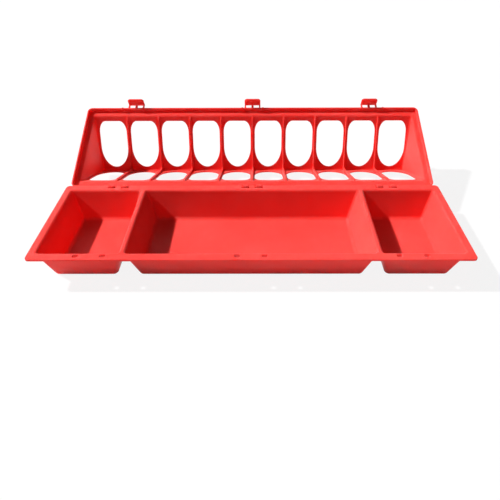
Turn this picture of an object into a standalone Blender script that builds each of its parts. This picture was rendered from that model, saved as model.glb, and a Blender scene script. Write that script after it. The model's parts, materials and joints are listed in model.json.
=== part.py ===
"""Poultry feeding trough with a hinged, windowed lid, modelled open.

Two plastic mouldings. The trough is a rim plate with three drafted tubs hanging from it, and the
two dividers between them are hollow saddles, open underneath. The lid is a pitched roof on a
rimmed flange, with ten feeding windows in each slope and a rib between neighbouring windows. It
turns on round bars left in notches along the trough's back edge, and snaps over the front edge.
Lengths are in metres. X runs along the trough, the front faces -Y and the floor is Z = 0.
"""

import math

import bmesh
import bpy
from mathutils import Matrix

MM = 0.001

# Driving dimensions, trough
LENGTH = 500.0 * MM
DEPTH = 145.0 * MM
RIM_T = 2.5 * MM
RIM_CORNER_R = 5.0 * MM
RIM_EDGE = 0.6 * MM
RIM_END_WIDTH = 9.0 * MM
RIM_SIDE_WIDTH = 11.0 * MM
TUB_DEEP = 40.3 * MM
FLOOR_T = 2.3 * MM
WALL_T = 2.5 * MM
END_WALL_DRAFT = 11.5 * MM
SIDE_WALL_DRAFT = 10.9 * MM
DIVIDER_X = 144.5 * MM
DIVIDER_TOP_HALF = 3.0 * MM
DIVIDER_FOOT_HALF = 15.0 * MM
RIM_ROUND = 2.2 * MM
TUB_CORNER_R = 6.0 * MM
FLOOR_ROUND = 4.0 * MM
OUTER_ROUND = 3.0 * MM

MOUTH_HALF_X = LENGTH / 2 - RIM_END_WIDTH
MOUTH_HALF_Y = DEPTH / 2 - RIM_SIDE_WIDTH
FLOOR_HALF_X = MOUTH_HALF_X - END_WALL_DRAFT
FLOOR_HALF_Y = MOUTH_HALF_Y - SIDE_WALL_DRAFT
HEIGHT = TUB_DEEP + FLOOR_T

# Driving dimensions, hinge: bars across notches in the back rim, hooks of the lid round them
HINGE_X = 180.0 * MM
HOOK_OFFSET = 9.0 * MM
HOOK_WIDTH = 6.0 * MM
HOOK_WALL = 1.75 * MM
BAR_R = 1.2 * MM
BAR_BITE = 1.2 * MM
AXIS_FROM_EDGE = 2.4 * MM
BAR_CLEARANCE = 0.35 * MM
NOTCH_CLEARANCE = 0.4 * MM
NOTCH_SIDE = 2.5 * MM
OPEN = math.radians(153.75)

HINGE_STATIONS = (-HINGE_X, 0.0, HINGE_X)
AXIS_Y = DEPTH / 2 - AXIS_FROM_EDGE
AXIS_Z = HEIGHT - RIM_T / 2
HOOK_R_IN = BAR_R + BAR_CLEARANCE
HOOK_R_OUT = HOOK_R_IN + HOOK_WALL
NOTCH_WIDTH = HOOK_WIDTH + 2 * NOTCH_SIDE
NOTCH_DEEP = AXIS_FROM_EDGE + HOOK_R_OUT + NOTCH_CLEARANCE

# Driving dimensions, latch: tabs on the lid over the front rim, pegs of the lid in the rim's holes
TAB_X = 174.0 * MM
TAB_HALF = 11.75 * MM
TAB_T = 2.0 * MM
TAB_GAP = 0.4 * MM
TAB_DROP = 11.2 * MM
TAB_CORNER_R = 4.0 * MM
TAB_EDGE = 0.6 * MM
WEB_SIDE = 2.15 * MM
WEB_MID_HALF = 1.6 * MM
WEB_BITE = 1.0 * MM
BEAD_INSET = 0.2 * MM
BEAD_OUT = 1.1 * MM
BEAD_NOSE = 0.5 * MM
BEAD_RUN = 3.2 * MM
HOLE_X = 179.8 * MM
PEG_OFFSET = 15.2 * MM
PEG_SHIFT = 1.2 * MM
PEG_FROM_EDGE = 6.9 * MM
PEG_HALF_X = 1.7 * MM
PEG_HALF_Y = 1.1 * MM
PEG_BELOW_LIP = 2.2 * MM
PEG_TIP = 0.9 * MM
PEG_CLEARANCE = 0.3 * MM
HOLE_CLEARANCE_Y = 0.5 * MM
HOLE_FORWARD = 1.5 * MM

# Driving dimensions, lid. Heights of the lid are measured from the foot of its lip.
GAP = 0.3 * MM
LID_END_INSET = 4.0 * MM
LID_SIDE_INSET = 5.0 * MM
LID_CORNER_R = 6.5 * MM
LID_EDGE = 1.5 * MM
LIP_T = 2.0 * MM
LIP_DEEP = 5.5 * MM
LIP_DRAFT = 0.3 * MM
SHEET = 1.8 * MM
FLANGE_END = 9.0 * MM
FLANGE_SIDE = 11.1 * MM
FLANGE_ROUND = 1.6 * MM
RISE = 64.3 * MM
END_DRAFT = 6.0 * MM
ROOF_CORNER_R = 3.0 * MM
APEX_R = 2.5 * MM
PITCH = 46.85 * MM
PANEL_WINDOWS = 10
RIB_T = 2.4 * MM
RIB_DEEP = 3.0 * MM
RIB_BITE = 0.9 * MM
RIB_FOOT = 0.4 * MM
RIB_TAPER = 3.0 * MM
RIB_TOE = 0.6 * MM
RIB_VALLEY_R = 4.0 * MM
WIN_FROM_RIM = 7.8 * MM
WIN_FROM_APEX = 6.2 * MM
WIN_HALF = 20.2 * MM
WIN_FLAT_HALF = 10.3 * MM
WIN_CORNER = 17.0 * MM
WIN_ARCH = 31.0 * MM

LID_HALF_X = LENGTH / 2 - LID_END_INSET
LID_HALF_Y = DEPTH / 2 - LID_SIDE_INSET
ROOF_HALF_X = LID_HALF_X - FLANGE_END
ROOF_HALF_Y = LID_HALF_Y - FLANGE_SIDE
APEX_H = LIP_DEEP + RISE
HALF_ANGLE = math.atan2(ROOF_HALF_Y, RISE)
ARC_H = APEX_H - APEX_R / math.sin(HALF_ANGLE)


def clear_scene():
    for obj in list(bpy.data.objects):
        bpy.data.objects.remove(obj, do_unlink=True)


def material(name, colour, rough):
    mat = bpy.data.materials.new(name)
    mat.use_nodes = True
    bsdf = mat.node_tree.nodes["Principled BSDF"]
    bsdf.inputs["Base Color"].default_value = (*colour, 1.0)
    bsdf.inputs["Roughness"].default_value = rough
    bsdf.inputs["Metallic"].default_value = 0.0
    return mat


def ring(cx, cy, hx, hy, r, z, seg=4):
    """Rounded rectangle, counter-clockwise seen from above."""
    r = min(r, hx * 0.98, hy * 0.98)
    pts = []
    for sx, sy, start in ((1, 1, 0.0), (-1, 1, 90.0), (-1, -1, 180.0), (1, -1, 270.0)):
        ox, oy = cx + sx * (hx - r), cy + sy * (hy - r)
        for i in range(seg + 1):
            a = math.radians(start + 90.0 * i / seg)
            pts.append((ox + r * math.cos(a), oy + r * math.sin(a), z))
    return pts


def oval(cx, cy, hx, hy, z, seg=5):
    """Slot outline with round ends, its long side along X."""
    pts = []
    for sx, start in ((1, -90.0), (-1, 90.0)):
        for i in range(seg + 1):
            a = math.radians(start + 180.0 * i / seg)
            pts.append((cx + sx * (hx - hy) + hy * math.cos(a), cy + hy * math.sin(a), z))
    return pts


def mesh_from(name, bm):
    bmesh.ops.recalc_face_normals(bm, faces=bm.faces)
    me = bpy.data.meshes.new(name)
    bm.to_mesh(me)
    bm.free()
    return me


def loft(name, rings):
    """Closed skin through rings with equal numbers of points, capped at both ends."""
    bm = bmesh.new()
    rows = [[bm.verts.new(p) for p in row] for row in rings]
    n = len(rows[0])
    for a, b in zip(rows, rows[1:]):
        for i in range(n):
            j = (i + 1) % n
            bm.faces.new((a[i], a[j], b[j], b[i]))
    bm.faces.new(list(reversed(rows[0])))
    bm.faces.new(rows[-1])
    return mesh_from(name, bm)


def box(name, x0, x1, y0, y1, z0, z1):
    return loft(name, [
        [(x0, y0, z0), (x1, y0, z0), (x1, y1, z0), (x0, y1, z0)],
        [(x0, y0, z1), (x1, y0, z1), (x1, y1, z1), (x0, y1, z1)],
    ])


def plate_x(name, outline, x0, x1):
    """A flat outline in (y, z), extruded along X."""
    return loft(name, [[(x0, y, z) for y, z in outline], [(x1, y, z) for y, z in outline]])


def place(name, me, mat=None, parent=None, cutter=False):
    obj = bpy.data.objects.new(name, me)
    bpy.context.scene.collection.objects.link(obj)
    if mat:
        me.materials.append(mat)
    if parent:
        obj.parent = parent
    if cutter:
        obj.hide_render = True
        obj.display_type = "WIRE"
    return obj


def group(name, objs):
    col = bpy.data.collections.new(name)
    for obj in objs:
        col.objects.link(obj)
    return col


def boolean(obj, name, operation, col):
    mod = obj.modifiers.new(name, "BOOLEAN")
    mod.operation = operation
    mod.solver = "EXACT"
    mod.operand_type = "COLLECTION"
    mod.collection = col
    return mod


def smooth(obj, degrees=32.0):
    mod_mesh = obj.data
    mod_mesh.shade_smooth()
    mod_mesh.set_sharp_from_angle(angle=math.radians(degrees))


# Trough

def compartments():
    """(x at the mouth, x at the floor) of both ends of each tub, left to right."""
    side_m, side_f = DIVIDER_X + DIVIDER_TOP_HALF, DIVIDER_X + DIVIDER_FOOT_HALF
    main_m, main_f = DIVIDER_X - DIVIDER_TOP_HALF, DIVIDER_X - DIVIDER_FOOT_HALF
    return (
        ((-MOUTH_HALF_X, -FLOOR_HALF_X), (-side_m, -side_f)),
        ((-main_m, -main_f), (main_m, main_f)),
        ((side_m, side_f), (MOUTH_HALF_X, FLOOR_HALF_X)),
    )


def tub_ring(tub, depth, grow, r):
    """Section of a tub at a depth below the rim, widened all round by grow."""
    t = depth / TUB_DEEP
    x0 = tub[0][0] + (tub[0][1] - tub[0][0]) * t - grow
    x1 = tub[1][0] + (tub[1][1] - tub[1][0]) * t + grow
    hy = MOUTH_HALF_Y + (FLOOR_HALF_Y - MOUTH_HALF_Y) * t + grow
    return ring((x0 + x1) / 2, 0.0, (x1 - x0) / 2, hy, max(r + grow, 0.2 * r), HEIGHT - depth)


def tub_inside(name, tub):
    rows = [tub_ring(tub, 0.0, RIM_ROUND, TUB_CORNER_R)]
    rows[0] = [(x, y, HEIGHT + RIM_T) for x, y, z in rows[0]]
    for i in range(4, -1, -1):
        a = math.radians(90.0 * i / 4)
        rows.append(tub_ring(tub, RIM_ROUND * (1 - math.sin(a)), RIM_ROUND * (1 - math.cos(a)), TUB_CORNER_R))
    for i in range(5):
        a = math.radians(90.0 * i / 4)
        deep = TUB_DEEP - FLOOR_ROUND * (1 - math.sin(a))
        rows.append(tub_ring(tub, deep, -FLOOR_ROUND * (1 - math.cos(a)), TUB_CORNER_R))
    return loft(name, rows)


def tub_outside(name, tub):
    round_r = OUTER_ROUND
    rows = [tub_ring(tub, RIM_T / 2, WALL_T, TUB_CORNER_R)]
    for i in range(5):
        a = math.radians(90.0 * i / 4)
        deep = HEIGHT - round_r * (1 - math.sin(a))
        rows.append(tub_ring(tub, deep, WALL_T - round_r * (1 - math.cos(a)), TUB_CORNER_R))
    return loft(name, rows)


def peg_stations(shift):
    """X of the six pegs, each pair moved towards the middle of the trough by shift."""
    return [s + side * PEG_OFFSET for s in (shift - HOLE_X, 0.0, HOLE_X - shift) for side in (-1, 1)]


def build_trough(mat):
    rows = []
    for inset, drop in ((0.0, RIM_T), (0.0, RIM_EDGE), (0.3 * RIM_EDGE, 0.3 * RIM_EDGE), (RIM_EDGE, 0.0)):
        rows.append(ring(0, 0, LENGTH / 2 - inset, DEPTH / 2 - inset, RIM_CORNER_R, HEIGHT - drop, 6))
    trough = place("trough", loft("trough", rows), mat)
    tubs = compartments()
    outer = [place(f"tub_skin_{i}", tub_outside(f"tub_skin_{i}", t), cutter=True) for i, t in enumerate(tubs)]
    cuts = [place(f"tub_room_{i}", tub_inside(f"tub_room_{i}", t), cutter=True) for i, t in enumerate(tubs)]
    bars = []
    back = DEPTH / 2
    under, over = HEIGHT - 2 * RIM_T, HEIGHT + RIM_T
    for x in peg_stations(0.0):
        hx = PEG_HALF_X + PEG_SHIFT + PEG_CLEARANCE
        r = PEG_HALF_Y + HOLE_CLEARANCE_Y
        y = PEG_FROM_EDGE - HOLE_FORWARD / 2 - DEPTH / 2
        rows = [ring(x, y, hx, r + HOLE_FORWARD / 2, r, z) for z in (under, over)]
        cuts.append(place("peg_hole", loft("peg_hole", rows), cutter=True))
    for s in HINGE_STATIONS:
        for side in (-1, 1):
            x = s + side * HOOK_OFFSET
            half = NOTCH_WIDTH / 2
            notch = box("notch", x - half, x + half, back - NOTCH_DEEP, back + RIM_T, under, over)
            cuts.append(place("notch", notch, cutter=True))
            turn = [math.tau * i / 16 for i in range(16)]
            rod = [(AXIS_Y + BAR_R * math.cos(a), AXIS_Z + BAR_R * math.sin(a)) for a in turn]
            half += BAR_BITE
            bars.append(place("bar", plate_x("bar", rod, x - half, x + half), cutter=True))
    boolean(trough, "tubs", "UNION", group("tub_skins", outer))
    boolean(trough, "rooms", "DIFFERENCE", group("trough_cuts", cuts))
    boolean(trough, "bars", "UNION", group("hinge_bars", bars))
    smooth(trough)
    return trough


# Lid, in its own frame: origin on the hinge axis, lid shut

CENTRE_Y = -AXIS_Y
FOOT_Z = HEIGHT + GAP - AXIS_Z


def lid_ring(hx, hy, r, h, seg=6):
    return ring(0.0, CENTRE_Y, hx, hy, r, FOOT_Z + h, seg)


def end_half(h):
    return ROOF_HALF_X - END_DRAFT * (h - LIP_DEEP) / RISE


def slope_half(h):
    return ROOF_HALF_Y * (APEX_H - h) / RISE


def roof_rows(offset, foot):
    """Rings of the roof, grown outward by offset from its inner face, from its foot to its ridge."""
    wide = offset / math.cos(HALF_ANGLE)
    r = ROOF_CORNER_R + offset
    rows = list(foot)
    radius = APEX_R + offset
    top = ARC_H + radius * math.sin(HALF_ANGLE)
    start = LIP_DEEP + (FLANGE_ROUND if offset == 0.0 else 0.4 * SHEET)
    for h in (start, top):
        rows.append(lid_ring(end_half(h) + offset, slope_half(h) + wide, r, h, 3))
    for t in (55.0, 68.0, 80.0):
        h = ARC_H + radius * math.sin(math.radians(t))
        rows.append(lid_ring(end_half(h) + offset, radius * math.cos(math.radians(t)), r, h, 3))
    return rows


def roof_room():
    """Space under the roof, with the round on the flange's inner edge at its mouth."""
    foot = []
    e = FLANGE_ROUND
    h0 = LIP_DEEP - FLANGE_ROUND
    foot.append(lid_ring(end_half(LIP_DEEP) + e, slope_half(LIP_DEEP) + e, ROOF_CORNER_R, h0, 3))
    for deg in (90.0, 60.0, 30.0):
        a = math.radians(deg)
        h = LIP_DEEP + e * (1 - math.sin(a))
        grow = e * (1 - math.cos(a))
        foot.append(lid_ring(end_half(h) + grow, slope_half(h) + grow, ROOF_CORNER_R, h, 3))
    return loft("roof_room", roof_rows(0.0, foot))


def rib_outline():
    """A rib's section across the lid: from inside the sheet to RIB_DEEP below its inner face."""
    out = RIB_BITE / math.cos(HALF_ANGLE)
    inn = RIB_DEEP / math.cos(HALF_ANGLE)
    drop = RIB_DEEP / math.sin(HALF_ANGLE)
    foot = LIP_DEEP + RIB_FOOT
    pts = [(slope_half(foot) + out, foot)]
    pts.append((0.0, APEX_H - APEX_R * (1 / math.sin(HALF_ANGLE) - 1) + RIB_BITE))
    pts.append((-pts[0][0], foot))
    lift = foot + RIB_TAPER
    left = [(-(slope_half(foot) - RIB_TOE), foot), (-(slope_half(lift) - inn), lift)]
    tip = APEX_H - drop
    arc = []
    r = RIB_VALLEY_R
    c = tip - r / math.sin(HALF_ANGLE)
    for t in (130.0, 110.0, 90.0, 70.0, 50.0):
        arc.append((r * math.cos(math.radians(t)), c + r * math.sin(math.radians(t))))
    right = [(-y, h) for y, h in reversed(left)]
    return [(CENTRE_Y + y, FOOT_Z + h) for y, h in pts + left + arc + right]


def window_outline():
    """(across, up the slope) of one window: flat near the rim, arched towards the ridge."""
    length = math.hypot(ROOF_HALF_Y, RISE)
    low, high = WIN_FROM_RIM, length - WIN_FROM_APEX
    pts = []
    cx = WIN_FLAT_HALF
    for i in range(7):
        a = math.radians(-90.0 + 15.0 * i)
        pts.append((cx + (WIN_HALF - cx) * math.cos(a), low + WIN_CORNER + WIN_CORNER * math.sin(a)))
    for i in range(13):
        a = math.radians(15.0 * i)
        pts.append((WIN_HALF * math.cos(a), high - WIN_ARCH + WIN_ARCH * math.sin(a)))
    for i in range(7):
        a = math.radians(180.0 + 15.0 * i)
        pts.append((-cx + (WIN_HALF - cx) * math.cos(a), low + WIN_CORNER + WIN_CORNER * math.sin(a)))
    return pts


def window_cutter(name, x, side):
    """One window's cut, square to its slope; side is +1 on the back slope and -1 on the front."""
    foot = (CENTRE_Y + side * ROOF_HALF_Y, FOOT_Z + LIP_DEEP)
    up = (-side * math.sin(HALF_ANGLE), math.cos(HALF_ANGLE))
    out = (side * math.cos(HALF_ANGLE), math.sin(HALF_ANGLE))
    rows = []
    for d in (-2.0 * SHEET, 2.5 * SHEET):
        rows.append([
            (x + u, foot[0] + up[0] * v + out[0] * d, foot[1] + up[1] * v + out[1] * d)
            for u, v in window_outline()
        ])
    return loft(name, rows)


def hook_outline():
    """C-shaped hook round the hinge bar, in (y, z) about the axis, with its root at the lip."""
    steps = 14
    start, end = math.radians(128.0), math.radians(-138.0)
    outer, inner = [], []
    for i in range(steps + 1):
        a = start + (end - start) * i / steps
        outer.append((HOOK_R_OUT * math.cos(a), HOOK_R_OUT * math.sin(a)))
        inner.append((HOOK_R_IN * math.cos(a), HOOK_R_IN * math.sin(a)))
    return outer + inner[::-1]


def tab_outline(seg=4):
    """Front view of a tab's leg: (x, depth below the rim), rounded at its foot."""
    r = TAB_CORNER_R
    top = -(GAP + TAB_T)
    pts = [(TAB_HALF, top)]
    for i in range(seg + 1):
        a = math.radians(90.0 * i / seg)
        pts.append((TAB_HALF - r + r * math.cos(a), TAB_DROP - r + r * math.sin(a)))
    return pts + [(-x, d) for x, d in reversed(pts)]


def latch_parts(x0, parent):
    """The webs, leg and snap beads of one latch tab on the lid's front lip."""
    lip_y = CENTRE_Y - LID_HALF_Y
    inner_y = CENTRE_Y - DEPTH / 2 - TAB_GAP
    outer_y = inner_y - TAB_T
    rim_z = HEIGHT - AXIS_Z
    made = []
    side_web = TAB_HALF - WEB_SIDE
    for a, b in ((-TAB_HALF, -side_web), (-WEB_MID_HALF, WEB_MID_HALF), (side_web, TAB_HALF)):
        made.append(box("web", x0 + a, x0 + b, outer_y + TAB_EDGE, lip_y + WEB_BITE, FOOT_Z, FOOT_Z + TAB_T))
    leg = tab_outline()
    made.append(loft("leg", [[(x0 + x, y, rim_z - d) for x, d in leg] for y in (outer_y, inner_y)]))
    near, far = WEB_MID_HALF + BEAD_INSET, side_web - BEAD_INSET
    for side in (-1, 1):
        xa, xb = sorted((x0 + side * near, x0 + side * far))
        ledge = rim_z - RIM_T - GAP
        root = inner_y - TAB_T / 4
        bead = [(root, ledge), (inner_y + BEAD_OUT, ledge), (inner_y + BEAD_OUT, ledge - BEAD_NOSE),
                (inner_y - TAB_T / 20, ledge - BEAD_RUN), (root, ledge - BEAD_RUN)]
        made.append(plate_x("bead", bead, xa, xb))
    return [place(me.name, me, parent=parent, cutter=True) for me in made]


def build_lid(mat, hinge):
    top, mid = LIP_DEEP + SHEET, LIP_DRAFT + LID_EDGE / 3
    rows = [
        lid_ring(LID_HALF_X, LID_HALF_Y, LID_CORNER_R, 0.0),
        lid_ring(LID_HALF_X - LIP_DRAFT, LID_HALF_Y - LIP_DRAFT, LID_CORNER_R, top - LID_EDGE),
        lid_ring(LID_HALF_X - mid, LID_HALF_Y - mid, LID_CORNER_R, top - 0.3 * LID_EDGE),
        lid_ring(LID_HALF_X - LIP_DRAFT - LID_EDGE, LID_HALF_Y - LIP_DRAFT - LID_EDGE, LID_CORNER_R, top),
    ]
    lid = place("lid", loft("lid", rows), mat, hinge)
    in_x, in_y, in_r = LID_HALF_X - LIP_T, LID_HALF_Y - LIP_T, LID_CORNER_R - LIP_T
    lip_room = loft("lip_room", [
        lid_ring(in_x, in_y, in_r, -LIP_DEEP),
        lid_ring(in_x, in_y, in_r, 0.0),
        lid_ring(in_x - LIP_DRAFT, in_y - LIP_DRAFT, in_r, LIP_DEEP),
    ])
    roof = loft("roof_skin", roof_rows(SHEET, []))
    add_first = [place("roof_skin", roof, parent=hinge, cutter=True)]
    cut = [place("lip_room", lip_room, parent=hinge, cutter=True),
           place("roof_room", roof_room(), parent=hinge, cutter=True)]
    for k in range(PANEL_WINDOWS):
        x = (k - (PANEL_WINDOWS - 1) / 2) * PITCH
        for side in (-1, 1):
            cut.append(place("window", window_cutter("window", x, side), parent=hinge, cutter=True))
    add = []
    for k in range(PANEL_WINDOWS - 1):
        x = (k - (PANEL_WINDOWS - 2) / 2) * PITCH
        me = plate_x("rib", rib_outline(), x - RIB_T / 2, x + RIB_T / 2)
        add.append(place("rib", me, parent=hinge, cutter=True))
    for s in (-TAB_X, 0.0, TAB_X):
        add += latch_parts(s, hinge)
    peg_y = CENTRE_Y - DEPTH / 2 + PEG_FROM_EDGE
    for x in peg_stations(PEG_SHIFT):
        tip = FOOT_Z - PEG_BELOW_LIP
        rows = [oval(x, peg_y, PEG_HALF_X - PEG_TIP / 3, PEG_HALF_Y - PEG_TIP / 3, tip),
                oval(x, peg_y, PEG_HALF_X, PEG_HALF_Y, tip + PEG_TIP),
                oval(x, peg_y, PEG_HALF_X, PEG_HALF_Y, FOOT_Z + LIP_DEEP + SHEET / 2)]
        add.append(place("peg", loft("peg", rows), parent=hinge, cutter=True))
    lip_y = CENTRE_Y + LID_HALF_Y
    for s in HINGE_STATIONS:
        for side in (-1, 1):
            x = s + side * HOOK_OFFSET
            xa, xb = x - HOOK_WIDTH / 2, x + HOOK_WIDTH / 2
            add.append(place("hook", plate_x("hook", hook_outline(), xa, xb), parent=hinge, cutter=True))
            z0, z1 = FOOT_Z + 0.8 * GAP, FOOT_Z + 0.7 * LIP_DEEP
            end = -0.4 * BAR_R
            root = [(lip_y - LIP_T / 2, z0), (end, z0), (end, HOOK_R_OUT - 0.1 * HOOK_WALL), (lip_y, z1),
                    (lip_y - LIP_T / 2, z1)]
            add.append(place("hook_root", plate_x("hook_root", root, xa, xb), parent=hinge, cutter=True))
    boolean(lid, "roof", "UNION", group("lid_roof", add_first))
    boolean(lid, "openings", "DIFFERENCE", group("lid_cuts", cut))
    boolean(lid, "details", "UNION", group("lid_details", add))
    smooth(lid)
    return lid


clear_scene()
red = material("red_plastic", (0.80, 0.012, 0.010), 0.34)
lid_red = material("lid_red_plastic", (0.80, 0.012, 0.010), 0.34)
build_trough(red)
hinge_line = bpy.data.objects.new("hinge_line", None)
bpy.context.scene.collection.objects.link(hinge_line)
hinge_line.matrix_world = Matrix.Translation((0.0, AXIS_Y, AXIS_Z)) @ Matrix.Rotation(-OPEN, 4, "X")
build_lid(lid_red, hinge_line)
bpy.context.view_layer.update()
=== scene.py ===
"""Chicken feeding trough with its windowed lid folded open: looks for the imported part.

Both mouldings are remade here with their rounds and fine detail, on the same sizes as the solids,
and stand for them. Lengths are in metres, in the row frame: +X right, -Y front, floor at Z = 0.
"""

import json
import math

import bmesh
import bpy
from mathutils import Matrix, Vector

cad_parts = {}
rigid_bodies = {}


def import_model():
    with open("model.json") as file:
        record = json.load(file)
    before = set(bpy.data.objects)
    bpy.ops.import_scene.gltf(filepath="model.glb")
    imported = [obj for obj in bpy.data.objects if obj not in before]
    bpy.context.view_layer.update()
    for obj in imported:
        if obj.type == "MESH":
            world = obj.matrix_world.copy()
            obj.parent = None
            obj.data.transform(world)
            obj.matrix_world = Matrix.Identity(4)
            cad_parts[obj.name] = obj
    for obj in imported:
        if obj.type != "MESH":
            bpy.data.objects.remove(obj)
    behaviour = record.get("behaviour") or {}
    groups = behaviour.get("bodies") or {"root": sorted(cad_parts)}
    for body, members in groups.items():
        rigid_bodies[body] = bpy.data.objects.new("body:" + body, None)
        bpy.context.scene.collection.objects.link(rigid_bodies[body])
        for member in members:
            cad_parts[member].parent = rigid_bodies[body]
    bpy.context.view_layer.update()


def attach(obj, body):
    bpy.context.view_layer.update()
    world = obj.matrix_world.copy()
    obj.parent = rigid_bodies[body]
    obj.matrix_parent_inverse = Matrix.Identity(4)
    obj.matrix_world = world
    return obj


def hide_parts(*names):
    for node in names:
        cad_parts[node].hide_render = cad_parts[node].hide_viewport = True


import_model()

MM = 0.001

# Sizes, trough
LENGTH = 500.0 * MM
DEPTH = 145.0 * MM
RIM_T = 2.5 * MM
RIM_CORNER_R = 5.0 * MM
RIM_EDGE = 0.6 * MM
RIM_END_WIDTH = 9.0 * MM
RIM_SIDE_WIDTH = 11.0 * MM
TUB_DEEP = 40.3 * MM
FLOOR_T = 2.3 * MM
WALL_T = 2.5 * MM
END_WALL_DRAFT = 11.5 * MM
SIDE_WALL_DRAFT = 10.9 * MM
DIVIDER_X = 144.5 * MM
DIVIDER_TOP_HALF = 3.0 * MM
DIVIDER_FOOT_HALF = 15.0 * MM
RIM_ROUND = 2.2 * MM
TUB_CORNER_R = 3.0 * MM
FLOOR_ROUND = 4.0 * MM
OUTER_ROUND = 3.0 * MM
ROUND_STEPS = 7
CUT_OVER = 4.0 * MM
CUT_UNDER = 5.0 * MM

MOUTH_HALF_X = LENGTH / 2 - RIM_END_WIDTH
MOUTH_HALF_Y = DEPTH / 2 - RIM_SIDE_WIDTH
FLOOR_HALF_X = MOUTH_HALF_X - END_WALL_DRAFT
FLOOR_HALF_Y = MOUTH_HALF_Y - SIDE_WALL_DRAFT
HEIGHT = TUB_DEEP + FLOOR_T

# Sizes, hinge: bars across notches in the back rim, hooks of the lid round them
HINGE_X = 180.0 * MM
HOOK_OFFSET = 9.0 * MM
HOOK_WIDTH = 6.0 * MM
HOOK_WALL = 1.75 * MM
HOOK_FROM, HOOK_TO, HOOK_STEPS = 128.0, -138.0, 22
HOOK_EDGE = 0.35 * MM
BAR_R = 1.2 * MM
BAR_BITE = 1.2 * MM
BAR_SIDES = 24
AXIS_FROM_EDGE = 2.4 * MM
BAR_CLEARANCE = 0.35 * MM
NOTCH_CLEARANCE = 0.4 * MM
NOTCH_SIDE = 2.5 * MM
OPEN = math.radians(153.75)

HINGE_STATIONS = (-HINGE_X, 0.0, HINGE_X)
AXIS_Y = DEPTH / 2 - AXIS_FROM_EDGE
AXIS_Z = HEIGHT - RIM_T / 2
HOOK_R_IN = BAR_R + BAR_CLEARANCE
HOOK_R_OUT = HOOK_R_IN + HOOK_WALL
NOTCH_WIDTH = HOOK_WIDTH + 2 * NOTCH_SIDE
NOTCH_DEEP = AXIS_FROM_EDGE + HOOK_R_OUT + NOTCH_CLEARANCE

# Sizes, latch: tabs on the lid over the front rim, pegs of the lid in the rim's holes
TAB_X = 174.0 * MM
TAB_HALF = 11.75 * MM
TAB_T = 2.0 * MM
TAB_GAP = 0.4 * MM
TAB_DROP = 11.2 * MM
TAB_CORNER_R = 4.0 * MM
TAB_EDGE = 0.6 * MM
WEB_SIDE = 2.15 * MM
WEB_MID_HALF = 1.6 * MM
WEB_BITE = 1.0 * MM
BEAD_INSET = 0.2 * MM
BEAD_OUT = 1.1 * MM
BEAD_NOSE = 0.5 * MM
BEAD_RUN = 3.2 * MM
HOLE_X = 179.8 * MM
PEG_OFFSET = 15.2 * MM
PEG_SHIFT = 1.2 * MM
PEG_FROM_EDGE = 6.9 * MM
PEG_HALF_X = 1.7 * MM
PEG_HALF_Y = 1.1 * MM
PEG_BELOW_LIP = 2.2 * MM
PEG_CLEARANCE = 0.3 * MM
HOLE_CLEARANCE_Y = 0.5 * MM
HOLE_FORWARD = 1.5 * MM
HOLE_EDGE = 0.35 * MM

# Sizes, lid. Heights of the lid are measured from the foot of its lip.
GAP = 0.3 * MM
LID_END_INSET = 4.0 * MM
LID_SIDE_INSET = 5.0 * MM
LID_CORNER_R = 6.5 * MM
LID_EDGE = 1.5 * MM
LIP_T = 2.0 * MM
LIP_DEEP = 5.5 * MM
LIP_DRAFT = 0.3 * MM
SHEET = 1.8 * MM
FLANGE_END = 9.0 * MM
FLANGE_SIDE = 11.1 * MM
FLANGE_ROUND = 1.6 * MM
RISE = 64.3 * MM
END_DRAFT = 6.0 * MM
ROOF_CORNER_R = 3.0 * MM
APEX_R = 2.5 * MM
PITCH = 46.85 * MM
PANEL_WINDOWS = 10
RIB_T = 2.4 * MM
RIB_DEEP = 3.0 * MM
RIB_BITE = 0.9 * MM
RIB_FOOT = 0.4 * MM
RIB_TAPER = 3.0 * MM
RIB_TOE = 0.6 * MM
RIB_VALLEY_R = 4.0 * MM
RIB_EDGE = 0.55 * MM
WIN_FROM_RIM = 7.8 * MM
WIN_FROM_APEX = 6.2 * MM
WIN_HALF = 20.2 * MM
WIN_FLAT_HALF = 10.3 * MM
WIN_CORNER = 17.0 * MM
WIN_ARCH = 31.0 * MM
WIN_EDGE = 0.5 * MM

LID_HALF_X = LENGTH / 2 - LID_END_INSET
LID_HALF_Y = DEPTH / 2 - LID_SIDE_INSET
ROOF_HALF_X = LID_HALF_X - FLANGE_END
ROOF_HALF_Y = LID_HALF_Y - FLANGE_SIDE
APEX_H = LIP_DEEP + RISE
HALF_ANGLE = math.atan2(ROOF_HALF_Y, RISE)
ARC_H = APEX_H - APEX_R / math.sin(HALF_ANGLE)
CENTRE_Y = -AXIS_Y
FOOT_Z = HEIGHT + GAP - AXIS_Z
HINGE = Matrix.Translation((0.0, AXIS_Y, AXIS_Z)) @ Matrix.Rotation(-OPEN, 4, "X")


# Mesh helpers

def ring(cx, cy, hx, hy, r, z, seg=8):
    """Rounded rectangle, counter-clockwise seen from above."""
    r = min(r, hx * 0.98, hy * 0.98)
    pts = []
    for sx, sy, start in ((1, 1, 0.0), (-1, 1, 90.0), (-1, -1, 180.0), (1, -1, 270.0)):
        ox, oy = cx + sx * (hx - r), cy + sy * (hy - r)
        for i in range(seg + 1):
            a = math.radians(start + 90.0 * i / seg)
            pts.append((ox + r * math.cos(a), oy + r * math.sin(a), z))
    return pts


def oval(cx, cy, hx, hy, z, seg=10):
    """Slot shape with round ends along X, counter-clockwise seen from above."""
    pts = []
    for sx, start in ((1, -90.0), (-1, 90.0)):
        for i in range(seg + 1):
            a = math.radians(start + 180.0 * i / seg)
            pts.append((cx + sx * (hx - hy) + hy * math.cos(a), cy + hy * math.sin(a), z))
    return pts


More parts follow.
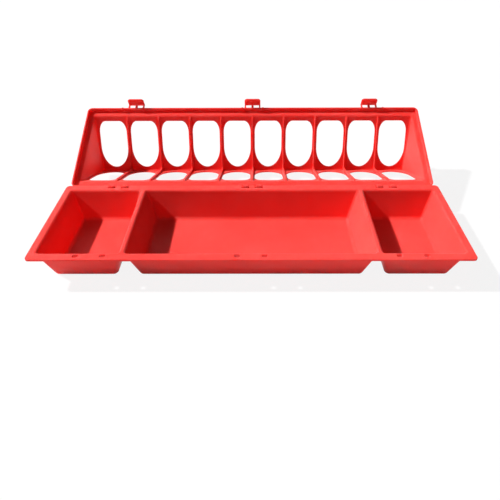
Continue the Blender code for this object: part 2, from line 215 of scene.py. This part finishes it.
def grown(outline, by):
    """A closed 2-D outline, given counter-clockwise, moved outward along its vertex normals."""
    n, out = len(outline), []
    for i, (x, y) in enumerate(outline):
        (ax, ay), (bx, by_) = outline[i - 1], outline[(i + 1) % n]
        d1, d2 = Vector((x - ax, y - ay)), Vector((bx - x, by_ - y))
        d1 = d1.normalized() if d1.length > 1e-9 else d2.normalized()
        d2 = d2.normalized() if d2.length > 1e-9 else d1
        n1, n2 = Vector((d1.y, -d1.x)), Vector((d2.y, -d2.x))
        m = (n1 + n2).normalized()
        k = by / max(0.5, m.dot(n1))
        out.append((x + m.x * k, y + m.y * k))
    return out


def loft(name, rings):
    """Closed skin through rings with equal numbers of points, capped at both ends."""
    bm = bmesh.new()
    rows = [[bm.verts.new(p) for p in row] for row in rings]
    n = len(rows[0])
    for a, b in zip(rows, rows[1:]):
        for i in range(n):
            j = (i + 1) % n
            bm.faces.new((a[i], a[j], b[j], b[i]))
    bm.faces.new(list(reversed(rows[0])))
    bm.faces.new(rows[-1])
    bmesh.ops.recalc_face_normals(bm, faces=bm.faces)
    me = bpy.data.meshes.new(name)
    bm.to_mesh(me)
    bm.free()
    return me


def box(name, x0, x1, y0, y1, z0, z1):
    return loft(name, [
        [(x0, y0, z0), (x1, y0, z0), (x1, y1, z0), (x0, y1, z0)],
        [(x0, y0, z1), (x1, y0, z1), (x1, y1, z1), (x0, y1, z1)],
    ])


def plate_x(name, outline, x0, x1, soft=0.0):
    """A flat outline in (y, z), extruded along X, its side edges eased by soft."""
    if soft <= 0.0:
        return loft(name, [[(x0, y, z) for y, z in outline], [(x1, y, z) for y, z in outline]])
    rows = []
    for x, e in ((x0, soft), (x0 + soft * 0.3, soft * 0.3), (x0 + soft, 0.0),
                 (x1 - soft, 0.0), (x1 - soft * 0.3, soft * 0.3), (x1, soft)):
        rows.append([(x, y, z) for y, z in grown(outline, -e)])
    return loft(name, rows)


def scratch(meshes, name):
    """A collection of unseen objects for a boolean."""
    col = bpy.data.collections.new(name)
    for me in meshes:
        col.objects.link(bpy.data.objects.new(me.name, me))
    return col


def carve(name, me, steps):
    """Runs union and difference steps on a mesh and returns the finished mesh."""
    obj = bpy.data.objects.new(name + "_work", me)
    bpy.context.scene.collection.objects.link(obj)
    cols = []
    for i, (operation, meshes) in enumerate(steps):
        col = scratch(meshes, f"{name}_{i}")
        cols.append(col)
        mod = obj.modifiers.new(f"step_{i}", "BOOLEAN")
        mod.operation, mod.solver = operation, "EXACT"
        mod.operand_type, mod.collection = "COLLECTION", col
    done = bpy.data.meshes.new_from_object(obj.evaluated_get(bpy.context.evaluated_depsgraph_get()))
    done.name = name
    for col in cols:
        for o in list(col.objects):
            bpy.data.objects.remove(o, do_unlink=True)
        bpy.data.collections.remove(col)
    bpy.data.objects.remove(obj, do_unlink=True)
    return done


def finish_piece(name, me, mat, body, node, angle=33.0):
    me.materials.clear()
    me.materials.append(mat)
    me.shade_smooth()
    me.set_sharp_from_angle(angle=math.radians(angle))
    obj = bpy.data.objects.new(name, me)
    bpy.context.scene.collection.objects.link(obj)
    wn = obj.modifiers.new("weighted", "WEIGHTED_NORMAL")
    wn.keep_sharp, wn.weight = True, 60
    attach(obj, body)
    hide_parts(node)
    return obj


# Trough

def compartments():
    side_m, side_f = DIVIDER_X + DIVIDER_TOP_HALF, DIVIDER_X + DIVIDER_FOOT_HALF
    main_m, main_f = DIVIDER_X - DIVIDER_TOP_HALF, DIVIDER_X - DIVIDER_FOOT_HALF
    return (
        ((-MOUTH_HALF_X, -FLOOR_HALF_X), (-side_m, -side_f)),
        ((-main_m, -main_f), (main_m, main_f)),
        ((side_m, side_f), (MOUTH_HALF_X, FLOOR_HALF_X)),
    )


def tub_ring(tub, depth, grow, r):
    t = depth / TUB_DEEP
    x0 = tub[0][0] + (tub[0][1] - tub[0][0]) * t - grow
    x1 = tub[1][0] + (tub[1][1] - tub[1][0]) * t + grow
    hy = MOUTH_HALF_Y + (FLOOR_HALF_Y - MOUTH_HALF_Y) * t + grow
    return ring((x0 + x1) / 2, 0.0, (x1 - x0) / 2, hy, max(r + grow, 0.2 * r), HEIGHT - depth)


def tub_inside(tub):
    top = [(x, y, HEIGHT + CUT_OVER) for x, y, z in tub_ring(tub, 0.0, RIM_ROUND, TUB_CORNER_R)]
    rows = [top]
    for i in range(ROUND_STEPS, -1, -1):
        a = math.radians(90.0 * i / ROUND_STEPS)
        depth, grow = RIM_ROUND * (1 - math.sin(a)), RIM_ROUND * (1 - math.cos(a))
        rows.append(tub_ring(tub, depth, grow, TUB_CORNER_R))
    for i in range(ROUND_STEPS + 1):
        a = math.radians(90.0 * i / ROUND_STEPS)
        depth, grow = TUB_DEEP - FLOOR_ROUND * (1 - math.sin(a)), -FLOOR_ROUND * (1 - math.cos(a))
        rows.append(tub_ring(tub, depth, grow, TUB_CORNER_R))
    return loft("room", rows)


def tub_outside(tub):
    r = OUTER_ROUND
    rows = [tub_ring(tub, RIM_T / 2, WALL_T, TUB_CORNER_R)]
    for i in range(ROUND_STEPS + 1):
        a = math.radians(90.0 * i / ROUND_STEPS)
        depth, grow = HEIGHT - r * (1 - math.sin(a)), WALL_T - r * (1 - math.cos(a))
        rows.append(tub_ring(tub, depth, grow, TUB_CORNER_R))
    return loft("skin", rows)


def peg_stations(shift):
    """X of the six pegs, each pair moved towards the middle of the trough by shift."""
    return [s + side * PEG_OFFSET for s in (shift - HOLE_X, 0.0, HOLE_X - shift) for side in (-1, 1)]


def rim_ring(inset, z):
    return ring(0, 0, LENGTH / 2 - inset, DEPTH / 2 - inset, RIM_CORNER_R - inset, z, 10)


def make_trough(mat):
    edge = []
    for deg in (90, 60, 30, 0):
        a = math.radians(deg)
        edge.append((RIM_EDGE * (1 - math.cos(a)), RIM_EDGE * (1 - math.sin(a))))
    rows = [rim_ring(inset, HEIGHT - drop) for inset, drop in edge]
    rows += [rim_ring(inset / 2, HEIGHT - RIM_T + drop / 2) for inset, drop in reversed(edge)]
    base = loft("trough", rows)
    tubs = compartments()
    cuts, bars = [tub_inside(t) for t in tubs], []
    back, e = DEPTH / 2, HOLE_EDGE
    for x in peg_stations(0.0):
        hx = PEG_HALF_X + PEG_SHIFT + PEG_CLEARANCE
        r = PEG_HALF_Y + HOLE_CLEARANCE_Y
        y = PEG_FROM_EDGE - HOLE_FORWARD / 2 - DEPTH / 2
        rows = []
        for z, g in ((-CUT_UNDER, 0.0), (-e, 0.0), (-0.3 * e, 0.3 * e), (0.0, e), (MM, e)):
            rows.append(ring(x, y, hx + g, r + HOLE_FORWARD / 2 + g, r + g, HEIGHT + z))
        cuts.append(loft("peg_hole", rows))
    for s in HINGE_STATIONS:
        for side in (-1, 1):
            x = s + side * HOOK_OFFSET
            half = NOTCH_WIDTH / 2
            cuts.append(box("notch", x - half, x + half, back - NOTCH_DEEP, back + 3 * MM,
                            HEIGHT - CUT_UNDER, HEIGHT + 2 * MM))
            turn = [math.tau * i / BAR_SIDES for i in range(BAR_SIDES)]
            rod = [(AXIS_Y + BAR_R * math.cos(a), AXIS_Z + BAR_R * math.sin(a)) for a in turn]
            half += BAR_BITE
            bars.append(plate_x("bar", rod, x - half, x + half))
    me = carve("trough_moulding", base, [
        ("UNION", [tub_outside(t) for t in tubs]), ("DIFFERENCE", cuts), ("UNION", bars)])
    return finish_piece("trough_moulding", me, mat, "trough", "trough")


# Lid, made shut about the hinge axis, then turned open

def lid_ring(hx, hy, r, h, seg=10):
    return ring(0.0, CENTRE_Y, hx, hy, r, FOOT_Z + h, seg)


def end_half(h):
    return ROOF_HALF_X - END_DRAFT * (h - LIP_DEEP) / RISE


def slope_half(h):
    return ROOF_HALF_Y * (APEX_H - h) / RISE


def roof_rows(offset, foot):
    wide = offset / math.cos(HALF_ANGLE)
    r = ROOF_CORNER_R + offset
    rows = list(foot)
    radius = APEX_R + offset
    top = ARC_H + radius * math.sin(HALF_ANGLE)
    start = LIP_DEEP + (FLANGE_ROUND if offset == 0.0 else 0.4 * SHEET)
    for h in (start, top):
        rows.append(lid_ring(end_half(h) + offset, slope_half(h) + wide, r, h, 6))
    for t in (48.0, 56.0, 64.0, 72.0, 80.0, 86.0):
        h = ARC_H + radius * math.sin(math.radians(t))
        rows.append(lid_ring(end_half(h) + offset, radius * math.cos(math.radians(t)), r, h, 6))
    return rows


def roof_room():
    e = FLANGE_ROUND
    foot = [lid_ring(end_half(LIP_DEEP) + e, slope_half(LIP_DEEP) + e, ROOF_CORNER_R, LIP_DEEP - e, 6)]
    for i in range(6, 0, -1):
        a = math.radians(15.0 * i)
        h = LIP_DEEP + e * (1 - math.sin(a))
        grow = e * (1 - math.cos(a))
        foot.append(lid_ring(end_half(h) + grow, slope_half(h) + grow, ROOF_CORNER_R, h, 6))
    return loft("roof_room", roof_rows(0.0, foot))


def rib_rows(x):
    """Cross-sections of one rib along X, its free edge rounded."""
    rows, spots, e = [], [], RIB_EDGE
    for deg in (0, 30, 60, 90):
        a = math.radians(deg)
        spots.append((e * (1 - math.sin(a)), e * (1 - math.cos(a))))
    across = [(-RIB_T / 2 + dx, dd) for dd, dx in spots]
    across += [(RIB_T / 2 - dx, dd) for dd, dx in reversed(spots)]
    for dx, less in across:
        deep = RIB_DEEP - less
        out = RIB_BITE / math.cos(HALF_ANGLE)
        inn = deep / math.cos(HALF_ANGLE)
        drop = deep / math.sin(HALF_ANGLE)
        foot = LIP_DEEP + RIB_FOOT
        pts = [(slope_half(foot) + out, foot)]
        pts.append((0.0, APEX_H - APEX_R * (1 / math.sin(HALF_ANGLE) - 1) + RIB_BITE))
        pts.append((-pts[0][0], foot))
        lift, mid = foot + RIB_TAPER, foot + 0.4 * RIB_TAPER
        left = [(-(slope_half(foot) - RIB_TOE), foot), (-(slope_half(mid) - inn * 0.72), mid),
                (-(slope_half(lift) - inn), lift)]
        r = RIB_VALLEY_R
        c = APEX_H - drop - r / math.sin(HALF_ANGLE)
        turn = [math.radians(t) for t in range(138, 40, -12)]
        arc = [(r * math.cos(a), c + r * math.sin(a)) for a in turn]
        right = [(-y, h) for y, h in reversed(left)]
        rows.append([(x + dx, CENTRE_Y + y, FOOT_Z + h) for y, h in pts + left + arc + right])
    return rows


def window_outline():
    length = math.hypot(ROOF_HALF_Y, RISE)
    low, high = WIN_FROM_RIM, length - WIN_FROM_APEX
    pts, cx, n = [], WIN_FLAT_HALF, 12
    for i in range(n + 1):
        a = math.radians(-90.0 + 90.0 * i / n)
        pts.append((cx + (WIN_HALF - cx) * math.cos(a), low + WIN_CORNER + WIN_CORNER * math.sin(a)))
    for i in range(25):
        a = math.radians(7.5 * i)
        pts.append((WIN_HALF * math.cos(a), high - WIN_ARCH + WIN_ARCH * math.sin(a)))
    for i in range(n + 1):
        a = math.radians(180.0 + 90.0 * i / n)
        pts.append((-cx + (WIN_HALF - cx) * math.cos(a), low + WIN_CORNER + WIN_CORNER * math.sin(a)))
    return pts


def window_cutter(x, side):
    """One window's cut, flared by a small round at both faces of the sheet."""
    foot = (CENTRE_Y + side * ROOF_HALF_Y, FOOT_Z + LIP_DEEP)
    up = (-side * math.sin(HALF_ANGLE), math.cos(HALF_ANGLE))
    out = (side * math.cos(HALF_ANGLE), math.sin(HALF_ANGLE))
    line, e, rows = window_outline(), WIN_EDGE, []
    depths = [(-1.2 * MM, e), (0.0, e), (0.2 * e, 0.4 * e), (0.5 * e, 0.13 * e), (e, 0.0)]
    depths += [(SHEET - d, g) for d, g in reversed(depths[1:])] + [(SHEET + 2.5 * MM, e)]
    for d, g in depths:
        rows.append([
            (x + u, foot[0] + up[0] * v + out[0] * d, foot[1] + up[1] * v + out[1] * d)
            for u, v in grown(line, g)
        ])
    return loft("window", rows)


def hook_outline():
    """C-shaped hook round the hinge bar, counter-clockwise in (y, z) about the axis."""
    steps = HOOK_STEPS
    start, end = math.radians(HOOK_FROM), math.radians(HOOK_TO)
    outer, inner = [], []
    for i in range(steps + 1):
        a = start + (end - start) * i / steps
        outer.append((HOOK_R_OUT * math.cos(a), HOOK_R_OUT * math.sin(a)))
        inner.append((HOOK_R_IN * math.cos(a), HOOK_R_IN * math.sin(a)))
    return outer[::-1] + inner


def tab_outline(seg=8):
    """Front view of a tab's leg: (x, height above the rim), counter-clockwise."""
    r = TAB_CORNER_R
    top = GAP + TAB_T
    right = []
    for i in range(seg + 1):
        a = math.radians(-90.0 + 90.0 * i / seg)
        right.append((TAB_HALF - r + r * math.cos(a), -(TAB_DROP - r) + r * math.sin(a)))
    right.append((TAB_HALF, top))
    return right + [(-x, z) for x, z in reversed(right)]


def latch_meshes(x0):
    lip_y = CENTRE_Y - LID_HALF_Y
    inner_y = CENTRE_Y - DEPTH / 2 - TAB_GAP
    outer_y = inner_y - TAB_T
    rim_z = HEIGHT - AXIS_Z
    made = []
    side_web = TAB_HALF - WEB_SIDE
    near_y, far_y = outer_y + TAB_EDGE, lip_y + WEB_BITE
    for a, b in ((-TAB_HALF, -side_web), (-WEB_MID_HALF, WEB_MID_HALF), (side_web, TAB_HALF)):
        made.append(box("web", x0 + a, x0 + b, near_y, far_y, FOOT_Z, FOOT_Z + TAB_T))
    leg, rows = tab_outline(), []
    for y, e in ((outer_y, 0.5), (outer_y + 0.15 * MM, 0.15), (outer_y + 0.5 * MM, 0.0),
                 (inner_y - 0.4 * MM, 0.0), (inner_y - 0.12 * MM, 0.12), (inner_y, 0.4)):
        rows.append([(x0 + x, y, rim_z + z) for x, z in grown(leg, -e * MM)])
    made.append(loft("leg", rows))
    near, far = WEB_MID_HALF + BEAD_INSET, side_web - BEAD_INSET
    for side in (-1, 1):
        xa, xb = sorted((x0 + side * near, x0 + side * far))
        ledge, root = rim_z - RIM_T - GAP, inner_y - TAB_T / 4
        bead = [(root, ledge - BEAD_RUN), (inner_y - TAB_T / 20, ledge - BEAD_RUN),
                (inner_y + BEAD_OUT, ledge - BEAD_NOSE), (inner_y + BEAD_OUT, ledge), (root, ledge)]
        made.append(plate_x("bead", bead, xa, xb))
    return made


def make_lid(mat):
    top = LIP_DEEP + SHEET
    rows = [
        lid_ring(LID_HALF_X - 0.5 * MM, LID_HALF_Y - 0.5 * MM, LID_CORNER_R, 0.0),
        lid_ring(LID_HALF_X - 0.15 * MM, LID_HALF_Y - 0.15 * MM, LID_CORNER_R, 0.15 * MM),
        lid_ring(LID_HALF_X, LID_HALF_Y, LID_CORNER_R, 0.5 * MM),
        lid_ring(LID_HALF_X - LIP_DRAFT, LID_HALF_Y - LIP_DRAFT, LID_CORNER_R, top - 1.2 * LID_EDGE),
    ]
    for i in range(1, 7):
        a = math.radians(15.0 * i)
        inset = LIP_DRAFT + 1.2 * LID_EDGE * (1 - math.cos(a))
        rows.append(lid_ring(LID_HALF_X - inset, LID_HALF_Y - inset, LID_CORNER_R,
                             top - 1.2 * LID_EDGE * (1 - math.sin(a))))
    base = loft("lid", rows)
    lip_in, deep = [], LIP_DEEP / MM
    for grow, h in ((0.4, -3.0), (0.4, 0.0), (0.12, 0.12), (0.0, 0.4), (-0.25, deep - 1.0),
                    (-0.33, deep - 0.5), (-0.6, deep - 0.15), (-1.0, deep)):
        lip_in.append(lid_ring(LID_HALF_X - LIP_T + grow * MM, LID_HALF_Y - LIP_T + grow * MM,
                               LID_CORNER_R - LIP_T, h * MM))
    cut = [loft("lip_room", lip_in), roof_room()]
    for k in range(PANEL_WINDOWS):
        x = (k - (PANEL_WINDOWS - 1) / 2) * PITCH
        for side in (-1, 1):
            cut.append(window_cutter(x, side))
    add = []
    for k in range(PANEL_WINDOWS - 1):
        add.append(loft("rib", rib_rows((k - (PANEL_WINDOWS - 2) / 2) * PITCH)))
    for x0 in (-TAB_X, 0.0, TAB_X):
        add += latch_meshes(x0)
    peg_y = CENTRE_Y - DEPTH / 2 + PEG_FROM_EDGE
    tip = FOOT_Z - PEG_BELOW_LIP
    for x in peg_stations(PEG_SHIFT):
        rows = [oval(x, peg_y, PEG_HALF_X - e * MM, PEG_HALF_Y - e * MM, tip + h * MM) for e, h in (
            (0.75, 0.0), (0.40, 0.08), (0.15, 0.4), (0.0, 0.95))]
        rows.append(oval(x, peg_y, PEG_HALF_X, PEG_HALF_Y, FOOT_Z + LIP_DEEP + SHEET / 2))
        add.append(loft("peg", rows))
    lip_y = CENTRE_Y + LID_HALF_Y
    for s in HINGE_STATIONS:
        for side in (-1, 1):
            x = s + side * HOOK_OFFSET
            xa, xb = x - HOOK_WIDTH / 2, x + HOOK_WIDTH / 2
            add.append(plate_x("hook", hook_outline(), xa, xb, HOOK_EDGE))
            z0, z1, end = FOOT_Z + 0.8 * GAP, FOOT_Z + 0.7 * LIP_DEEP, -0.4 * BAR_R
            root = [(lip_y - LIP_T / 2, z1), (lip_y - LIP_T / 2, z0), (end, z0),
                    (end, HOOK_R_OUT - 0.1 * HOOK_WALL), (lip_y, z1)]
            add.append(plate_x("hook_root", root, xa, xb))
    me = carve("lid_moulding", base, [
        ("UNION", [loft("roof_skin", roof_rows(SHEET, []))]), ("DIFFERENCE", cut), ("UNION", add)])
    me.transform(HINGE)
    return finish_piece("lid_moulding", me, mat, "lid", "lid")


# Materials

# Base colour between its two tones, picked at random by noise: a deep red whose raised green and blue
# are painted sheen, standing in for the pink sheen of the key light; colour and share of the gloss,
# and how far light runs inside
RED_DEEP_PLUS_PAINTED_SHEEN = (0.800, 0.0560, 0.0490, 1.0)
RED_PALE_PLUS_PAINTED_SHEEN = (0.880, 0.0800, 0.0700, 1.0)
GLOSS_TINT = (1.0, 0.5, 0.48, 1.0)
GLOSS_SHARE = 0.09
ROUGH_LOW, ROUGH_HIGH = 0.34, 0.48
GLOW_WEIGHT = 0.85
GLOW_RADIUS = (1.0, 0.04, 0.03)
GLOW_SCALE = 0.004

def node(nt, kind, **values):
    n = nt.nodes.new(kind)
    for key, value in values.items():
        if key in n.inputs:
            n.inputs[key].default_value = value
        else:
            setattr(n, key, value)
    return n


def red_plastic(name, seed):
    """Moulded polypropylene: saturated red with painted sheen in its base colour, glows where thin,
    low satin gloss, faint streaks.
    """
    mat = bpy.data.materials.new(name)
    mat.use_nodes = True
    nt = mat.node_tree
    link = nt.links.new
    bsdf = nt.nodes["Principled BSDF"]
    bsdf.inputs["Metallic"].default_value = 0.0
    bsdf.inputs["IOR"].default_value = 1.49
    bsdf.inputs["Specular IOR Level"].default_value = GLOSS_SHARE
    bsdf.inputs["Specular Tint"].default_value = GLOSS_TINT
    bsdf.subsurface_method = "RANDOM_WALK"
    bsdf.inputs["Subsurface Weight"].default_value = GLOW_WEIGHT
    bsdf.inputs["Subsurface Radius"].default_value = GLOW_RADIUS
    bsdf.inputs["Subsurface Scale"].default_value = GLOW_SCALE
    coord = node(nt, "ShaderNodeTexCoord")
    shift = node(nt, "ShaderNodeMapping")
    shift.inputs["Location"].default_value = (seed, seed * 0.7, 0.0)
    link(coord.outputs["Object"], shift.inputs["Vector"])
    cloud = node(nt, "ShaderNodeTexNoise", Scale=9.0, Detail=3.0, Roughness=0.55)
    link(shift.outputs["Vector"], cloud.inputs["Vector"])
    streak_map = node(nt, "ShaderNodeMapping")
    streak_map.inputs["Scale"].default_value = (6.0, 60.0, 60.0)
    link(coord.outputs["Object"], streak_map.inputs["Vector"])
    streak = node(nt, "ShaderNodeTexNoise", Scale=1.0, Detail=4.0, Roughness=0.6)
    link(streak_map.outputs["Vector"], streak.inputs["Vector"])
    # Base colour: random tones of deep red, their green and blue raised as painted sheen
    ramp = node(nt, "ShaderNodeValToRGB")
    ramp.color_ramp.elements[0].position = 0.30
    ramp.color_ramp.elements[0].color = RED_DEEP_PLUS_PAINTED_SHEEN
    ramp.color_ramp.elements[1].position = 0.72
    ramp.color_ramp.elements[1].color = RED_PALE_PLUS_PAINTED_SHEEN
    link(cloud.outputs["Fac"], ramp.inputs["Fac"])
    link(ramp.outputs["Color"], bsdf.inputs["Base Color"])
    scuff = node(nt, "ShaderNodeTexNoise", Scale=140.0, Detail=4.0, Roughness=0.62)
    link(shift.outputs["Vector"], scuff.inputs["Vector"])
    mixed = node(nt, "ShaderNodeMath", operation="MULTIPLY_ADD")
    link(scuff.outputs["Fac"], mixed.inputs[0])
    mixed.inputs[1].default_value = 0.35
    link(streak.outputs["Fac"], mixed.inputs[2])
    rough = node(nt, "ShaderNodeMapRange")
    rough.inputs["From Min"].default_value = 0.35
    rough.inputs["From Max"].default_value = 1.0
    rough.inputs["To Min"].default_value = ROUGH_LOW
    rough.inputs["To Max"].default_value = ROUGH_HIGH
    link(mixed.outputs["Value"], rough.inputs["Value"])
    link(rough.outputs["Result"], bsdf.inputs["Roughness"])
    grain = node(nt, "ShaderNodeTexNoise", Scale=900.0, Detail=2.0, Roughness=0.5)
    link(shift.outputs["Vector"], grain.inputs["Vector"])
    wave = node(nt, "ShaderNodeTexNoise", Scale=22.0, Detail=1.0, Roughness=0.4)
    link(shift.outputs["Vector"], wave.inputs["Vector"])
    fine = node(nt, "ShaderNodeBump", Strength=0.05, Distance=0.0003)
    link(grain.outputs["Fac"], fine.inputs["Height"])
    broad = node(nt, "ShaderNodeBump", Strength=0.10, Distance=0.004)
    link(wave.outputs["Fac"], broad.inputs["Height"])
    link(fine.outputs["Normal"], broad.inputs["Normal"])
    link(broad.outputs["Normal"], bsdf.inputs["Normal"])
    return mat


make_trough(red_plastic("trough_plastic", 0.0))
make_lid(red_plastic("lid_plastic", 3.7))


# Stage, light and camera

scene = bpy.context.scene


# Share of plain white in the floor that the camera sees; the rest is paper, which takes the shadow
FLOOR_WHITE = 0.88
# World strength that reaches the object as light, and as seen
WORLD_LIT, WORLD_SEEN = 0.04, 1.0


def seen_by_eye(nt):
    """1 where a ray from the camera, straight on or by way of gloss or glass, meets the white."""
    path = node(nt, "ShaderNodeLightPath")
    last = path.outputs["Is Camera Ray"]
    for ray in ("Is Glossy Ray", "Is Transmission Ray"):
        most = node(nt, "ShaderNodeMath", operation="MAXIMUM")
        nt.links.new(last, most.inputs[0])
        nt.links.new(path.outputs[ray], most.inputs[1])
        last = most.outputs["Value"]
    return last


def white_sheet():
    """A seamless pale floor that turns up into a backdrop far behind the object."""
    prof = [(-3.0, 0.0), (2.2, 0.0)]
    for i in range(1, 13):
        a = math.radians(90.0 * i / 12)
        prof.append((2.2 + 0.8 * math.sin(a), 0.8 * (1 - math.cos(a))))
    prof.append((3.0, 3.5))
    bm = bmesh.new()
    rows = [[bm.verts.new((x, y, z)) for y, z in prof] for x in (-4.0, 4.0)]
    for i in range(len(prof) - 1):
        bm.faces.new((rows[0][i], rows[1][i], rows[1][i + 1], rows[0][i + 1]))
    me = bpy.data.meshes.new("backdrop")
    bm.to_mesh(me)
    bm.free()
    me.shade_smooth()
    obj = bpy.data.objects.new("backdrop", me)
    scene.collection.objects.link(obj)
    mat = bpy.data.materials.new("backdrop_paper")
    mat.use_nodes = True
    nt = mat.node_tree
    bsdf = nt.nodes["Principled BSDF"]
    bsdf.inputs["Roughness"].default_value = 0.9
    bsdf.inputs["Specular IOR Level"].default_value = 0.0
    bsdf.inputs["Base Color"].default_value = (0.90, 0.90, 0.90, 1.0)
    part = node(nt, "ShaderNodeMath", operation="MULTIPLY")
    nt.links.new(seen_by_eye(nt), part.inputs[0])
    part.inputs[1].default_value = FLOOR_WHITE
    white = node(nt, "ShaderNodeEmission", Strength=1.0)
    mix = node(nt, "ShaderNodeMixShader")
    nt.links.new(part.outputs["Value"], mix.inputs[0])
    nt.links.new(bsdf.outputs["BSDF"], mix.inputs[1])
    nt.links.new(white.outputs["Emission"], mix.inputs[2])
    nt.links.new(mix.outputs["Shader"], nt.nodes["Material Output"].inputs["Surface"])
    me.materials.append(mat)
    return obj


def area(name, loc, target, size, power):
    """A white rectangular lamp at loc that faces the target, size in metres, power in watts."""
    data = bpy.data.lights.new(name, "AREA")
    data.shape = "RECTANGLE"
    data.size, data.size_y = size
    data.energy = power
    obj = bpy.data.objects.new(name, data)
    obj.location = loc
    obj.rotation_euler = (Vector(target) - Vector(loc)).to_track_quat("-Z", "Y").to_euler()
    scene.collection.objects.link(obj)
    return obj


def sun(name, towards, width, strength):
    """A far lamp in the direction given, width in degrees, strength in W/m2."""
    data = bpy.data.lights.new(name, "SUN")
    data.angle = math.radians(width)
    data.energy = strength
    obj = bpy.data.objects.new(name, data)
    obj.rotation_euler = Vector(towards).to_track_quat("Z", "Y").to_euler()
    scene.collection.objects.link(obj)
    return obj


white_sheet()
sun("key", (-0.70, 0.12, 0.70), 2.5, 5.2)
area("sheen", (-0.95, 1.15, 1.00), (-0.05, 0.05, 0.02), (1.3, 0.9), 5.0)
area("front_fill", (0.5, -1.5, 0.9), (0.0, 0.05, 0.02), (1.6, 1.2), 0.6)

world = bpy.data.worlds.new("studio")
scene.world = world
world.use_nodes = True
bg = world.node_tree.nodes["Background"]
bg.inputs["Color"].default_value = (1.0, 1.0, 1.0, 1.0)
level = node(world.node_tree, "ShaderNodeMapRange")
level.inputs["To Min"].default_value, level.inputs["To Max"].default_value = WORLD_LIT, WORLD_SEEN
world.node_tree.links.new(seen_by_eye(world.node_tree), level.inputs["Value"])
world.node_tree.links.new(level.outputs["Result"], bg.inputs["Strength"])

# Camera matched to the photograph: place in metres, pitch, yaw and roll in radians, focal length
# and principal point in pixels of the 500 px frame.
CAM_AT = (8.87 * MM, -458.33 * MM, 402.70 * MM)
PITCH_DOWN, YAW, ROLL = 0.5853, -0.0051, -0.0046
FOCAL_PX, CENTRE_PX = 475.10, (256.58, 180.28)
FRAME_PX, SENSOR_MM = 500.0, 36.0

ce, se = math.cos(PITCH_DOWN), math.sin(PITCH_DOWN)
cw, sw = math.cos(YAW), math.sin(YAW)
ahead = Vector((ce * sw, ce * cw, -se))
right0 = Vector((cw, -sw, 0.0))
up0 = Vector((se * sw, se * cw, ce))
cr, sr = math.cos(ROLL), math.sin(ROLL)
right = cr * right0 + sr * up0
up = cr * up0 - sr * right0
cam_data = bpy.data.cameras.new("camera")
cam_data.sensor_fit = "HORIZONTAL"
cam_data.sensor_width = SENSOR_MM
cam_data.lens = FOCAL_PX * SENSOR_MM / FRAME_PX
cam_data.shift_x = (FRAME_PX / 2 - CENTRE_PX[0]) / FRAME_PX
cam_data.shift_y = (CENTRE_PX[1] - FRAME_PX / 2) / FRAME_PX
cam_data.clip_start, cam_data.clip_end = 0.01, 50.0
cam = bpy.data.objects.new("camera", cam_data)
place = Matrix((right, up, -ahead)).transposed().to_4x4()
place.translation = CAM_AT
cam.matrix_world = place
scene.collection.objects.link(cam)
scene.camera = cam
scene.view_settings.view_transform = "Standard"

bpy.context.view_layer.update()
